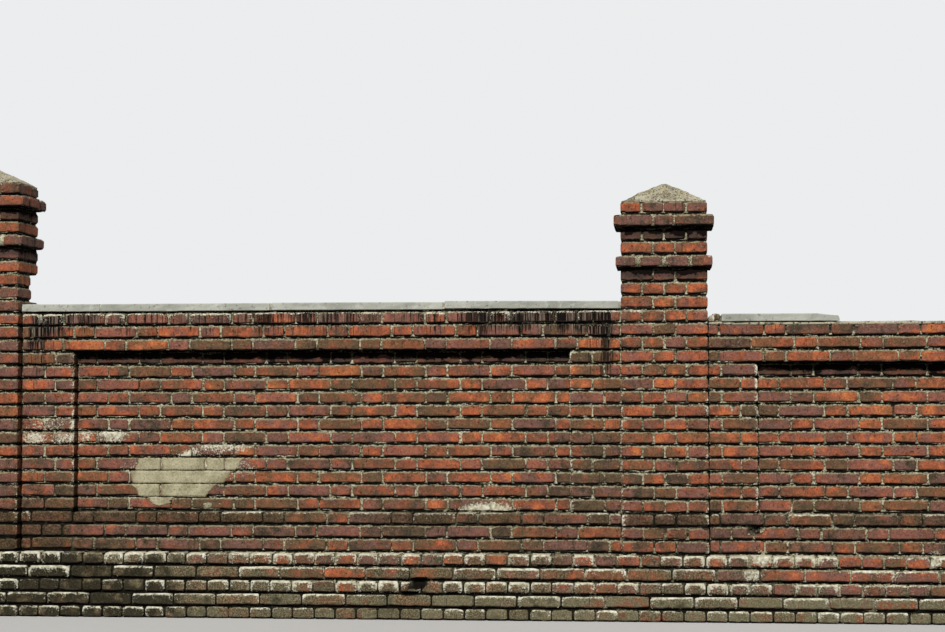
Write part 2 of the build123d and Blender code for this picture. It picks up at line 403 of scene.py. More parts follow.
def shape_bricks(rows, bare, steps, arris):
    """Bricks with like bare sides: each is its rounded outline carried up through six levels.

    The corners of the face are drawn in and rounded off, the arrises are worn by amounts that
    differ along them, the face is bitten into here and there, and the whole brick is a little out
    of level and plumb.
    """
    share, cut, outward, sort, pull = round_the_brick(bare, steps)
    open_side, at_corner = (sort > 0).astype(float), (sort == 1).astype(float)
    count, m = len(rows), len(share)
    shape = (count, RIM.shape[1], m)
    size = rows[:, [X1, Y1]] - rows[:, [X0, Y0]]
    wear = arris * rng.uniform(0.5, 1.2, (count, 1, 1))
    corner_cut = arris * (0.25 + rng.gamma(1.2, 0.35, (count, m)))
    plan = rows[:, None, [X0, Y0]] + share * size[:, None] + cut * corner_cut[..., None]

    # The height of each level, and how far it lies inside the outline
    foot, top = rows[:, FOOT, None, None], rows[:, TOP, None, None]
    height = foot + (top - foot) * by_level(0, 0, 0, 1, 1, 1)
    height = height + by_level(0, 1, 0, 0, -1, 0) * wear + by_level(0, 0, 1, -1, 0, 0) * SHOULDER
    rounding = arris * (0.25 + rng.gamma(1.3, 0.55, shape)) * RIM * at_corner
    height = height + by_level(0.3, 0.3, 0, 0, -0.45, -0.45) * rounding
    bite = rng.gamma(0.9, 0.9, shape) * (0.35 + 0.9 * RIM) * arris / 5
    inset = by_level(1.0, 0.15, 0, 0, 0.15, 1.0) * wear + np.clip(bite, 0, 9) * open_side
    nibble = np.clip(rng.normal(0, 0.9, shape), -1.8, 1.8) * arris / 5
    height = height + nibble * RIM * open_side
    droop = by_level(0.6, 0.6, 0, 0, -1, -1) * rng.gamma(0.7, 0.7, shape) * arris / 5
    height = height + droop * open_side

    # The points, turned and tilted, with waves in the face and broken corners
    grid = np.empty((*shape, 3))
    grid[..., :2] = plan[:, None] - inset[..., None] * outward
    grid[..., :2] += rounding[..., None] * pull * 0.8
    from_middle = grid[..., 0] - (rows[:, X0] + size[:, 0] / 2)[:, None, None]
    tilt = rng.normal(0, 0.0055, count) * (rows[:, FOOT] > 0)
    turn = rng.normal(0, 0.007, count)
    grid[..., 2] = height + from_middle * tilt[:, None, None]
    if bare[0] + bare[2] > 0 and bare[1] + bare[3] == 0:
        grid[..., 1] += from_middle * turn[:, None, None]
    grid[..., :2] -= (np.abs(ripple(grid, 55, 11) * 0.8) * open_side)[..., None] * outward
    grid[..., 2] = np.maximum(grid[..., 2], 0)
    broken = chipped(grid)
    grid[..., 1] += 45 * broken

    # Pale crust, most on the upper arris, and mortar smeared where two bare sides meet
    crown = by_level(0.2, 0.2, 0.14, 0.36, 1.0, 1.0)
    crown = crown + by_level(0.2, 0.25, 0.34, 0.34, 0.1, 0) * at_corner
    crust = ledge_crust(rows)[:, None, None] * crown
    crust = crust + pointed_edge(rows, grid) * np.all(pull != 0, axis=1)
    crust = crust * rng.uniform(0.6, 1.15, shape)
    marks = weather(grid)
    return grid, {
        "edge": by_level(1, 1, 0, 0, 1.25, 1.25) + (1 - RIM) * at_corner * 0.8,
        # Painted shade on the lower arris and in broken corners, and painted shade with soot under
        # a ledge
        "under": np.maximum(marks["under"], by_level(1, 0.75, 0, 0, 0, 0)) + 1.5 * broken,
        "lime": np.maximum(marks["lime"], crust) * (1 - broken),
    }


def chipped(points):
    """How far a point lies inside a broken corner on the street side: 0 outside, 1 well inside."""
    inside = np.zeros(points.shape[:-1])
    for x, z, half_width, half_height in CHIPS:
        reach = np.hypot((points[..., 0] - x) / half_width, (points[..., 2] - z) / half_height)
        inside = np.maximum(inside, eased(reach, 1.25, 0.75))
    return inside * (points[..., 1] < PANEL_LINE)


def pointed_edge(rows, grid):
    """Mortar smeared on upright arrises, in waves: on the lisenes, and low on the piers."""
    face, course = rows[:, Y0], course_of(rows)
    lisene = (face > FRAME_FRONT - 5) & (face < FRAME_FRONT + 10)
    low_on_pier = (face < 10 - HALF_DEPTH) & (course > PLINTH_COURSES) & (course <= 17)
    amount = np.where(lisene, 0.72, np.where(low_on_pier, 0.50, 0.0))
    return amount[:, None, None] * (1 + 0.45 * ripple(grid, 130, 23))


def ledge_crust(rows):
    """How much pale crust the upper arris of a brick carries: most on the plinth's steps."""
    course, n = course_of(rows), len(rows)
    amount = np.where(course <= PLINTH_COURSES, rng.uniform(0.30, 1.65, n), 0.0)
    last_of_apron = course == PLINTH_COURSES + APRON_COURSES
    amount = np.where(last_of_apron, rng.uniform(0.2, 0.75, n), amount)
    amount = amount * np.where(course <= 2, 0.84, 1.0) * np.where(course == 1, 0.75, 1.0)
    under_coping = (rows[:, X0] < -2300) & (course == BAY_COURSES[0])
    return np.where(under_coping, rng.uniform(0.55, 1.0, n), amount)


def brick_tone(rows):
    """A brick's tone from 0, orange, by red and brown to 1, burnt black, and its hue.

    The hue goes from 0, olive-brown, to 1, mauve.
    """
    n, course = len(rows), course_of(rows)
    x = (rows[:, X0] + rows[:, X1]) / 2
    pier, bay, aside, on_pier = whereabouts(x)
    tone = 0.10 + rng.beta(1.7, 2.1, n) * 0.75
    dark = rng.random(n) < 0.12
    tone = np.where(dark, rng.uniform(0.62, 0.92, n), tone)
    tone += np.array(COURSE_TONES)[np.minimum(course.astype(int), len(COURSE_TONES)) - 1]
    hue = rng.random(n)

    # Pier heads: dark in the corbels and beside them, bright in the neck, below and at the top left
    from_top = PIER_COURSES[0] - 2 * pier - course
    dark_head = on_pier & np.isin(from_top, (0, 1, 2, 4, 5))
    tone = np.where(dark_head, rng.uniform(0.56, 0.94, n), tone)
    hue = np.where(dark_head, rng.uniform(0.5, 1.0, n), hue)
    bright_head = on_pier & (np.isin(from_top, (3, 6, 7)) | ((from_top == 0) & (aside < -150)))
    tone = np.where(bright_head, rng.uniform(0.22, 0.42, n), tone)
    hue = np.where(bright_head, rng.uniform(0.2, 0.6, n), hue)

    # Bays, from the coping down, and two zones that are duller or brighter than the rest
    from_coping = BAY_COURSES[0] - bay - course
    tone[~on_pier & (from_coping == 3)] += 0.30
    mauve = ~on_pier & (from_coping == 0) & (bay == 0)
    tone[mauve] += 0.05
    hue[mauve] = 0.55 + 0.45 * hue[mauve]
    hue[(course < PLINTH_COURSES) & (x < -3500)] *= 0.4
    dulled = (bay == 0) & (aside > -600) & (aside < -PIER_WIDTH / 2) & (course > 8) & (course < 15)
    tone[dulled] += 0.48
    hue[dulled] *= 0.6
    tone[(bay == 0) & ((course == 6) | (course == 7))] += 0.06
    tone[~on_pier & (x > FIRST_PIER_X + BAY_PITCH) & (course >= 10) & (course <= 18)] -= 0.08
    return tone, hue


# Mortar


def rectangle(low, high):
    """The four corners of a plan between two of them, anticlockwise."""
    return [(low[0], low[1]), (high[0], low[1]), (high[0], high[1]), (low[0], high[1])]


def walk_round(corners, bare, step):
    """Stations round a plan of straight sides, corners anticlockwise, bare sides divided finely.

    Returns plan points, outward ways, and 1 where the station lies on a bare side.
    """
    corners = np.array(corners, float)
    runs = np.roll(corners, -1, axis=0) - corners
    lengths = np.linalg.norm(runs, axis=1)
    outs = np.stack([runs[:, 1], -runs[:, 0]], axis=1) / lengths[:, None]
    points, outward, open_side = [], [], []
    for side, (start, run, out) in enumerate(zip(corners, runs, outs)):
        before = outs[side - 1] * (bare[side - 1] > 0)
        count = max(1, round(lengths[side] / step)) if bare[side] else 1
        points += [start + run * index / count for index in range(count)]
        outward += [out * (bare[side] > 0) + before] + [out] * (count - 1)
        open_side += [bare[side] or bare[side - 1]] + [bare[side]] * (count - 1)
    return np.array(points), np.array(outward), np.array(open_side, float)


def bed(form, corners, bare, z_span, recess, ends=NEITHER, step=30.0):
    """The mortar round the bricks: a core whose bare faces lie back from the bricks' by recess.

    The recess waves with the place and is rough from station to station, so that mortar comes
    out flush here and has crumbled there. A hidden end reaches 6 mm into its neighbour, and a
    bare top or foot lies 4 mm inside. Joints are washed out high in bay 2, and painted dark there
    as the shade of deep joints.
    """
    low = z_span[0] + (4 if ends[0] else -6)
    high = z_span[1] + (-4 if ends[1] else 6)
    first, last = int(z_span[0] // COURSE), int(z_span[1] // COURSE) + 1
    in_each_course = np.array([-15, -7.5, 0, 32])
    marks = (np.arange(first, last + 1)[:, None] * COURSE + in_each_course).ravel()
    levels = np.concatenate([[low], marks[(marks > low + 5) & (marks < high - 5)], [high]])
    plan, outward, open_side = walk_round(corners, bare, step)
    grid = np.empty((1, len(levels), len(plan), 3))
    grid[0, ..., :2] = plan
    grid[0, ..., 2] = levels[:, None]
    depth = recess * (1 + 0.22 * ripple(grid, 170, 21) + 0.2 * ripple(grid, 60, 22))
    depth = depth + rng.normal(0, 0.12 * recess, depth.shape)
    depth = np.clip(depth, 0.45 * recess, 1.8 * recess) * open_side
    grid[..., :2] -= depth[..., None] * outward
    broken = chipped(grid)
    grid[..., 1] += 25 * broken
    x, y, z = grid[..., 0], grid[..., 1], grid[..., 2]
    up = z - foot_of(BAY_COURSES[1])
    # Painted shade in the washed-out joints high in bay 2 and in broken corners
    washed_out_shade = (np.abs(x) < 1830) & (y < PANEL_LINE) & (up > 20) & (up < 70)
    under = np.maximum(weather(grid)["under"], 0.85 * washed_out_shade)
    form.shells(grid, smooth=True, under=under + 1.5 * broken)


def wall_core(node, bare, recess, ends):
    """Mortar of a straight piece of wall: front and back bare, and an end where it is seen."""
    low, high = span(node)
    hidden_reach = 14.0
    left = low[0] if bare[0] else low[0] - hidden_reach
    right = high[0] if bare[1] else high[0] + hidden_reach
    form = Form()
    corners = rectangle((left, low[1]), (right, high[1]))
    bed(form, corners, (1, bare[1], 1, bare[0]), (low[2], high[2]), recess, ends)
    return form


def make_masonry(node, bricks, mortar):
    """Both pieces that stand for a node of brickwork."""
    bricks.make(node, "bricks", brick_finish, "brick")
    mortar.make(node, "mortar", joint_finish, "mortar")


# Finishes


class Value:
    """A number that changes over the surface. Operators on it add Math nodes."""

    def __init__(self, finish, socket):
        self.finish, self.socket = finish, socket

    def join(self, operation, first, second):
        return self.finish.add("Math", {"operation": operation}, {0: first, 1: second})

    def __add__(self, other):
        return self.join("ADD", self, other)

    def __sub__(self, other):
        return self.join("SUBTRACT", self, other)

    def __rsub__(self, other):
        return self.join("SUBTRACT", other, self)

    def __mul__(self, other):
        return self.join("MULTIPLY", self, other)

    __radd__, __rmul__ = __add__, __mul__

    def swing(self, amount):
        """A value about a half, such as a noise, as one about 0 and amount times as strong."""
        return (self - 0.5) * amount

    def above(self, start, end):
        """0 below start, 1 above end, and a smooth S between them."""
        return self.finish.add(
            "MapRange", {"interpolation_type": "SMOOTHSTEP"},
            {"Value": self, "From Min": start, "From Max": end},
        )


def paint(red, green, blue):
    """A colour as it looks on a screen, 0 to 255, as the light values that a shader takes."""
    shares = np.array([red, green, blue]) / 255
    light = np.where(shares <= 0.04045, shares / 12.92, ((shares + 0.055) / 1.055) ** 2.4)
    return (*(float(v) for v in light), 1.0)


class Finish:
    """A node tree under one name, the one method that adds nodes to it, and its colour so far."""

    def __init__(self, name, world=False):
        self.home = (bpy.data.worlds if world else bpy.data.materials).new(name)
        self.home.use_nodes = True
        self.tree = self.home.node_tree
        self.tree.nodes.clear()
        self.colour = None

    def add(self, kind, settings=None, sockets=None, out=0):
        """Adds a node: its settings first, then the values or links of its sockets."""
        node = self.tree.nodes.new("ShaderNode" + kind)
        for key, value in (settings or {}).items():
            if key == "stops":
                while len(node.color_ramp.elements) < len(value):
                    node.color_ramp.elements.new(1.0)
                for element, (place, *colour) in zip(node.color_ramp.elements, value):
                    element.position, element.color = place, paint(*colour)
            else:
                setattr(node, key, value)
        for key, value in (sockets or {}).items():
            if isinstance(value, Value):
                self.tree.links.new(value.socket, node.inputs[key])
            else:
                node.inputs[key].default_value = value
        return Value(self, node.outputs[out])

    def noise(self, scale, detail=3.0, rough=0.55, stretch=None, shift=0.0):
        """Noise in Object coordinates, which are stretched along each axis, then shifted."""
        where = self.add("TexCoord", out="Object")
        if stretch:
            where = self.add("Mapping", {}, {"Vector": where, "Scale": stretch})
        if shift:
            where = self.add("VectorMath", {"operation": "ADD"},
                             {0: where, 1: (shift, shift * 0.7, -shift)})
        return self.add("TexNoise", {}, {"Vector": where, "Scale": scale, "Detail": detail,
                                         "Roughness": rough})

    def height(self):
        """Height over the ground in metres."""
        return self.add("SeparateXYZ", {}, {0: self.add("TexCoord", out="Object")}, out=2)

    def fields(self, *names):
        """Fields painted on the vertices, as values."""
        return (self.add("Attribute", {"attribute_name": name}, out="Fac") for name in names)

    def blend(self, share, first, second, mode="MIX"):
        """A colour between two, by a share of 0 to 1."""
        return self.add("Mix", {"data_type": "RGBA", "blend_type": mode},
                        {0: share, 6: first, 7: second}, out=2)

    def ramp(self, value, *stops):
        """A colour from stops of a place, red, green and blue."""
        return self.add("ValToRGB", {"stops": stops}, {0: value})

    def coat(self, share, *colour):
        """Lays a colour over the one so far, by a share. It is a ramp's, or red, green, blue."""
        over = paint(*colour) if len(colour) == 3 else colour[0]
        self.colour = self.blend(share, self.colour, over)

    def finish(self, roughness, bump_height, bump_depth, strength=1.0):
        """The colour so far, roughness and relief on one dull surface."""
        relief = self.add("Bump", {}, {"Strength": strength, "Distance": bump_depth * MM,
                                       "Height": bump_height})
        return self.show(self.add("BsdfPrincipled", {}, {
            "Base Color": self.colour, "Roughness": roughness, "Normal": relief,
            "Specular IOR Level": 0.05,
        }))

    def show(self, skin):
        """Ends the tree with the output for its kind."""
        kind = "World" if isinstance(self.home, bpy.types.World) else "Material"
        output = self.tree.nodes.new("ShaderNodeOutput" + kind)
        self.tree.links.new(skin.socket, output.inputs["Surface"])
        return self.home

    def run_off(self, soot):
        """Fine upright threads, and how dark they run down: in clumps where there is soot."""
        streak = self.noise(1, 4, 0.8, stretch=(60, 60, 2.2))
        clump = self.noise(1, 2, 0.5, stretch=(11, 11, 1.6), shift=0.3)
        return streak, soot * 0.60 + streak.swing(2.2) + clump.swing(1.1)


def fired_clay():
    """Brick: own tone, mottled by the fire, then run-off, damp, painted shade, crust and mortar
    smears.
    """
    clay = Finish("weathered_brick")
    cloud, grain = clay.noise(11, 4, 0.65), clay.noise(62, 4, 0.75)
    fine = clay.noise(110, 3, 0.75, shift=12.0)
    tone, hue, edge, under, soot, lime, damp = clay.fields(*FIELDS)

    # The fired face: tone, drift of hue, grain, pits and grit
    tone = tone * 0.85 + cloud.swing(2.1) + grain.swing(0.35) + 0.08
    clay.colour = clay.ramp(
        tone, (0.00, 198, 116, 70), (0.20, 182, 100, 66), (0.40, 156, 89, 62),
        (0.60, 128, 81, 60), (0.80, 104, 79, 63), (1.00, 74, 64, 52),
    )
    rose = clay.noise(12, 3, 0.6, shift=14.0) + hue.swing(0.34)
    clay.coat(rose.above(0.50, 0.64) * 0.62, 130, 93, 84)
    olive = clay.noise(12, 4, 0.65, shift=17.0) - hue.swing(0.34)
    clay.coat(olive.above(0.52, 0.66) * 0.58, 106, 88, 62)
    bright = grain.swing(1.8) + fine.swing(2.0) + 1.03
    shade = clay.add("CombineColor", {}, {0: bright, 1: bright, 2: bright})
    clay.colour = clay.blend(0.9, clay.colour, shade, "MULTIPLY")
    pits = clay.noise(58, 4, 0.75, shift=1.0).above(0.60, 0.66) * 0.75
    clay.coat(pits, 40, 29, 23)
    clay.coat(clay.noise(92, 2, 0.7, shift=8.0).above(0.62, 0.69) * 0.45, 196, 168, 140)

    # Worn brown arrises, with mortar smeared over them
    brown = (edge * 0.8 + cloud.swing(1.4) + grain.swing(1.2)).above(0.35, 1.0)
    clay.coat(brown * 0.6, 84, 66, 50)
    smear = edge * (1.0 - under * 0.8) + clay.noise(34, 3, 0.7, shift=20.0).swing(2.2)
    clay.coat((smear + fine.swing(1.6)).above(1.02, 1.18) * 0.75, 160, 151, 122)

    # Damp dirt, and to the left painted shadow: grey mould on the plinth, brown grime above it,
    # silt at the foot, black in spots
    mould = clay.ramp(fine, (0.36, 44, 41, 29), (0.50, 98, 91, 66), (0.64, 160, 154, 124))
    grime = clay.ramp(fine, (0.36, 34, 27, 20), (0.50, 74, 60, 43), (0.64, 112, 95, 68))
    dirt = (damp + cloud.swing(1.6) + grain.swing(1.4)).above(0.30, 1.15) * 0.85
    clay.coat(dirt, clay.blend(clay.height().above(0.37, 0.42), mould, grime))
    silt = clay.ramp(fine, (0.34, 98, 92, 68), (0.50, 122, 115, 88), (0.66, 154, 147, 117))
    silted = (0.165 - clay.height()).above(0.0, 0.02) * (cloud + hue.swing(0.3))
    clay.coat(silted.above(0.34, 0.56) * 0.80, silt)
    black = (damp + cloud.swing(2.4) + fine.swing(0.8)).above(1.15, 1.65)
    clay.coat(black * 0.85, 36, 35, 25)

    # Run-off: faded where it has washed, dark where it dries, in threads of both
    streak, run = clay.run_off(soot)
    faded = (soot * (1.0 - streak) * 2.0 + fine.swing(0.8)).above(0.75, 1.25)
    clay.coat(faded * 0.24, 150, 120, 110)
    clay.coat((run + fine.swing(0.6)).above(0.42, 0.80) * 0.92, 32, 29, 24)
    thread = clay.noise(1, 2, 0.6, stretch=(130, 130, 3.0), shift=2.0)
    clay.coat((soot * 0.50 + thread.swing(3.2)).above(0.82, 1.02) * 0.55, 150, 132, 116)
    clay.coat((soot * 0.50 - thread.swing(3.2)).above(0.66, 0.84) * 0.92, 20, 17, 14)

    # Painted shade, black under a ledge with soot there and along the lower arris, then pale crust
    # over all
    bumps = clay.noise(13, 3, 0.6, shift=21.0).swing(1.3) + grain.swing(0.45)
    clay.coat((under + bumps * 0.5).above(0.02, 0.40) * 0.62, 58, 49, 46)
    clay.coat((under + bumps).above(0.46, 0.58) * 0.96, 15, 11, 9)
    crust = (lime + clay.noise(88, 4, 0.85, shift=3.0).swing(2.6)).above(0.54, 0.64)
    clay.coat(crust * 0.92, clay.ramp(
        clay.noise(45, 3, shift=5.0), (0.30, 156, 150, 118), (0.48, 214, 208, 180),
        (0.66, 244, 240, 222),
    ))
    height = grain * 0.9 + fine * 0.6 + crust * 0.2 - pits * 0.5
    return clay.finish(0.95 - crust * 0.05 - tone * 0.1, height, 4.0)


def pointing():
    """Mortar: sandy grey with grit, green where damp, dark under run-off, and painted shade."""
    mortar = Finish("crumbly_mortar")
    cloud, grain = mortar.noise(9, 4), mortar.noise(90, 3, 0.75)
    grit = mortar.noise(260, 2)
    under, soot, lime, damp = mortar.fields("under", "soot", "lime", "damp")
    mortar.colour = mortar.ramp(
        cloud * 0.6 + grain.swing(1.7) + 0.2, (0.22, 46, 42, 31), (0.46, 132, 126, 98),
        (0.68, 212, 206, 176),
    )
    moss = damp * 0.4 + mortar.noise(24, 4, 0.75, shift=2.0).swing(2.6)
    mortar.coat(moss.above(0.30, 0.62) * 0.65, 74, 84, 52)
    # Damp dirt, and to the left painted shadow
    dirt = (damp + cloud.swing(1.2) + grain.swing(1.0)).above(0.42, 0.95)
    mortar.coat(dirt * 0.9, 22, 20, 15)
    mortar.coat(mortar.run_off(soot)[1].above(0.38, 0.78) * 0.85, 30, 27, 22)
    crust = (lime + mortar.noise(70, 4, 0.75, shift=3.0).swing(1.4)).above(0.55, 0.75)
    mortar.coat(crust * 0.8, 176, 170, 142)

    # Painted shadow: a black line under each course; painted shade in open joints here and there
    courses_up = mortar.height() * (1000 / COURSE) + 10.0
    height_in_course = mortar.add("Math", {"operation": "FRACT"}, {0: courses_up})
    ragged = mortar.noise(34, 4, 0.7, shift=15.0)
    bulging = mortar.noise(13, 3, 0.75, shift=6.0).above(0.37, 0.43)
    painted_joint_shadow = (height_in_course + ragged.swing(0.36)).above(0.852, 0.876) * bulging
    mortar.coat(painted_joint_shadow * 0.98, 7, 6, 5)
    open_joint_shade = mortar.noise(14, 4, 0.75, shift=11.0) + damp * 0.13
    mortar.coat(open_joint_shade.above(0.56, 0.62) * 0.84, 26, 23, 17)
    # Painted shade, with soot, under ledges, in deep joints and in broken corners
    mortar.coat((under + ragged.swing(0.8)).above(0.46, 0.66) * 0.78, 15, 12, 10)
    return mortar.finish(0.97 - grit * 0.05, grain * 0.9 + grit * 0.4, 5.0)


def cast_stone():
    """Coping concrete: pale grey, blotched, pitted, with dark and ochre growth in spots."""
    stone = Finish("coping_concrete")
    cloud, grain = stone.noise(4.5, 4), stone.noise(90, 3, 0.7)
    grit = stone.noise(380, 2)
    stone.colour = stone.ramp(
        cloud + grain.swing(0.5), (0.25, 158, 159, 146), (0.50, 192, 193, 180),
        (0.75, 214, 213, 200),
    )
    spots = (stone.noise(34, 4, 0.75, shift=4.0) + grain.swing(0.4)).above(0.57, 0.68)
    stone.coat(spots * 0.75, 90, 92, 80)
    bleached = (stone.noise(16, 4, 0.7, shift=9.0) + grain.swing(0.4)).above(0.56, 0.66)
    stone.coat(bleached * 0.6, 222, 222, 212)
    stone.coat(stone.noise(38, 3, 0.7, shift=7.0).above(0.66, 0.74) * 0.5, 176, 160, 104)
    (edge,) = stone.fields("edge")
    stone.coat((edge + grain.swing(0.8)).above(0.75, 1.15) * 0.35, 120, 120, 106)
    height = grain * 0.6 + grit * 0.4 - spots * 0.2
    return stone.finish(0.88 + grit * 0.08, height, 2.5, 0.8)


def pebbled_mortar(name, sand, growth, gravel=62.0):
    """Rough mortar with gravel in it, as on the pier caps, with yellow-olive growth."""
    mortar = Finish(name)
    cloud, grain = mortar.noise(12, 4), mortar.noise(140, 3, 0.7)
    stones, tint = (
        mortar.add("TexVoronoi", {"feature": "F1"}, {
            "Vector": mortar.add("TexCoord", out="Object"), "Scale": gravel, "Randomness": 1.0,
        }, out=out) for out in ("Distance", "Color")
    )
    mortar.colour = mortar.ramp(
        cloud + grain.swing(0.7), (0.25, 120, 110, 88), (0.50, *sand), (0.75, 196, 188, 164),
    )
    share = mortar.add("SeparateColor", {}, {0: tint})
    pebble = (0.55 - stones).above(0.04, 0.12) * share.above(0.22, 0.30)
    mortar.coat(pebble * 0.9, mortar.ramp(
        share, (0.26, 62, 55, 44), (0.46, 122, 112, 92), (0.66, 222, 216, 194),
        (0.85, 84, 74, 60),
    ))
    lichen = (mortar.noise(18, 4, 0.7, shift=6.0) + grain.swing(0.4)).above(0.56, 0.66)
    mortar.coat(lichen * growth, 150, 138, 66)
    dirt = (mortar.noise(9, 4, 0.7, shift=9.0) + grain.swing(0.5)).above(0.56, 0.70)
    mortar.coat(dirt * 0.6, 84, 76, 60)
    return mortar.finish(0.94 - pebble * 0.1, pebble * 0.6 + grain * 0.5, 5.0)


def flat_plaster():
    """Old plaster: flat and pale, faintly clouded, stained at its thin ends."""
    plaster = Finish("old_plaster")
    cloud, grain = plaster.noise(14, 4), plaster.noise(95, 3, 0.7)
    plaster.colour = plaster.ramp(
        cloud * 0.7 + grain.swing(0.8) + 0.15, (0.30, 140, 132, 102), (0.50, 176, 168, 136),
        (0.70, 200, 192, 160),
    )
    specks = plaster.noise(64, 4, 0.75, shift=4.0).above(0.60, 0.66) * 0.8
    plaster.coat(specks, 104, 92, 70)
    (edge,) = plaster.fields("edge")
    plaster.coat((edge + grain.swing(1.2)).above(0.5, 1.1) * 0.8, 130, 108, 76)
    return plaster.finish(0.95 - specks * 0.05, grain * 0.7 + cloud * 0.4, 3.0)


brick_finish, joint_finish, concrete_finish = fired_clay(), pointing(), cast_stone()
cap_finish = pebbled_mortar("cap_mortar", (172, 163, 138), 0.5, 92.0)
bed_finish = pebbled_mortar("bare_mortar_bed", (188, 178, 152), 0.25)
filling_finish = pebbled_mortar("coping_joint_mortar", (172, 170, 156), 0.1)
plaster_finish = flat_plaster()


# Plinth


def plinth_rows():
    """Headers in the odd courses and stretchers in the even ones, on unbroken joint lines."""
    rows = []
    for course, (joint_at, pitch) in PLINTH_BOND.items():
        half, face = (size + PLINTH_STEPS[course - 1] for size in (HALF_LENGTH, HALF_DEPTH))
        shortest = 50
        first = math.ceil((-half + shortest - joint_at) / pitch)
        last = math.floor((half - shortest - joint_at) / pitch)
        joints = joint_at + pitch * np.arange(first, last + 1)
        joints += rng.normal(0, 3.0, len(joints))
        widths = np.diff(np.concatenate([[-half], joints, [half]]))
        headers = course % 2 == 1
        depth = BRICK_LENGTH if headers else BRICK_WIDTH
        rest = 2 * face - JOINT - depth if headers else depth
        rows.append(lay(course, -half, widths, -face, depth, BOTH, 7.0))
        rows.append(lay(course, -half, widths, face, -rest, BOTH, 7.0))
        if not headers:
            inner = face - depth - JOINT
            rows.append(end_bricks(course, -half, half, -inner, inner))
    return np.concatenate(rows)


def build_plinth():
    """The bricks of all courses, and mortar in a tier of three courses and two of one course."""
    bricks, mortar = fire(plinth_rows(), 5.5, setback=2.5), Form()
    low = 0.0
    for course in (3, 4, 5):
        half, face = (size + PLINTH_STEPS[course - 1] for size in (HALF_LENGTH, HALF_DEPTH))
        corners = rectangle((-half, -face), (half, face))
        bed(mortar, corners, ALL_ROUND, (low, top_of(course)), 16.0, (low == 0, True))
        low = top_of(course)
    make_masonry("plinth", bricks, mortar)


# Piers


def pier_course(course, low, high):
    """Headers in front in the odd courses, three-quarters and a header in the even ones."""
    depth = high[1] - low[1] - BRICK_LENGTH - JOINT
    front, back = (HEADERS, BRICK_LENGTH), (THREE_QUARTERS, depth)
    if course % 2 == 0:
        front, back = back, front
    width = high[0] - low[0]
    return np.concatenate([
        lay(course, low[0], fitted(front[0], width), low[1], front[1], BOTH),
        lay(course, low[0], fitted(back[0], width), high[1], -back[1], BOTH),
    ])


def notch_shaft(mortar, rows, low, high, recess):
    """Pier 1's shaft round its notch, where the bricks are gone or cut short."""
    corner = high[:2] - NOTCH
    whole = rectangle(low, high)
    notched = [*whole[:2], (high[0], corner[1]), tuple(corner), (corner[0], high[1]), whole[3]]
    foot, top = top_of(NOTCH_COURSES[0] - 1), foot_of(NOTCH_COURSES[-1] + 1)
    bed(mortar, whole, ALL_ROUND, (low[2], foot), recess, (False, True))
    bed(mortar, notched, (1,) * 6, (foot, top), recess)
    bed(mortar, whole, ALL_ROUND, (top, high[2]), recess, (True, False))
    gone = np.isin(course_of(rows), NOTCH_COURSES) & (rows[:, X1] > corner[0] + 40)
    gone &= rows[:, BACK] > 0
    wide = rows[:, X1] - rows[:, X0] > 150
    rows[gone & wide, X1] = corner[0] - 6
    rows[gone & ~wide, Y1] = corner[1] - 6


def build_lift(node, courses, arris, recess):
    """One lift of a pier: its courses of bricks and the mortar round them."""
    low, high = span(node)
    rows = np.concatenate([pier_course(course, low, high) for course in courses])
    mortar = Form()
    if node == "pier_1_shaft":
        notch_shaft(mortar, rows, low, high, recess)
    else:
        bed(mortar, rectangle(low, high), ALL_ROUND, (low[2], high[2]), recess)
    make_masonry(node, fire(rows, arris), mortar)


def build_corbel(node, course, upper):
    """A course that stands out all round: four wide-jointed headers, or stretcher and headers."""
    low, high = span(node)
    width, depth = high[0] - low[0], high[1] - low[1]
    if upper:
        widths = fitted(UPPER_CORBEL, width)
        inner = BRICK_WIDTH + 10
        rows = [
            lay(course, low[0], widths, low[1], BRICK_WIDTH, BOTH, 8),
            lay(course, low[0], widths, high[1], -BRICK_WIDTH, BOTH, 8),
            end_bricks(course, low[0], high[0], low[1] + inner, high[1] - inner),
        ]
    else:
        widths = fitted(LOWER_CORBEL, width)
        rows = [
            lay(course, low[0], widths, low[1], BRICK_LENGTH, BOTH, 22),
            lay(course, low[0], widths, high[1], BRICK_LENGTH + 12 - depth, BOTH, 18),
        ]
    bricks, mortar = fire(np.concatenate(rows), 6.5), Form()
    bed(mortar, rectangle(low, high), ALL_ROUND, (low[2], high[2]), 9.0, BOTH, 24.0)
    make_masonry(node, bricks, mortar)


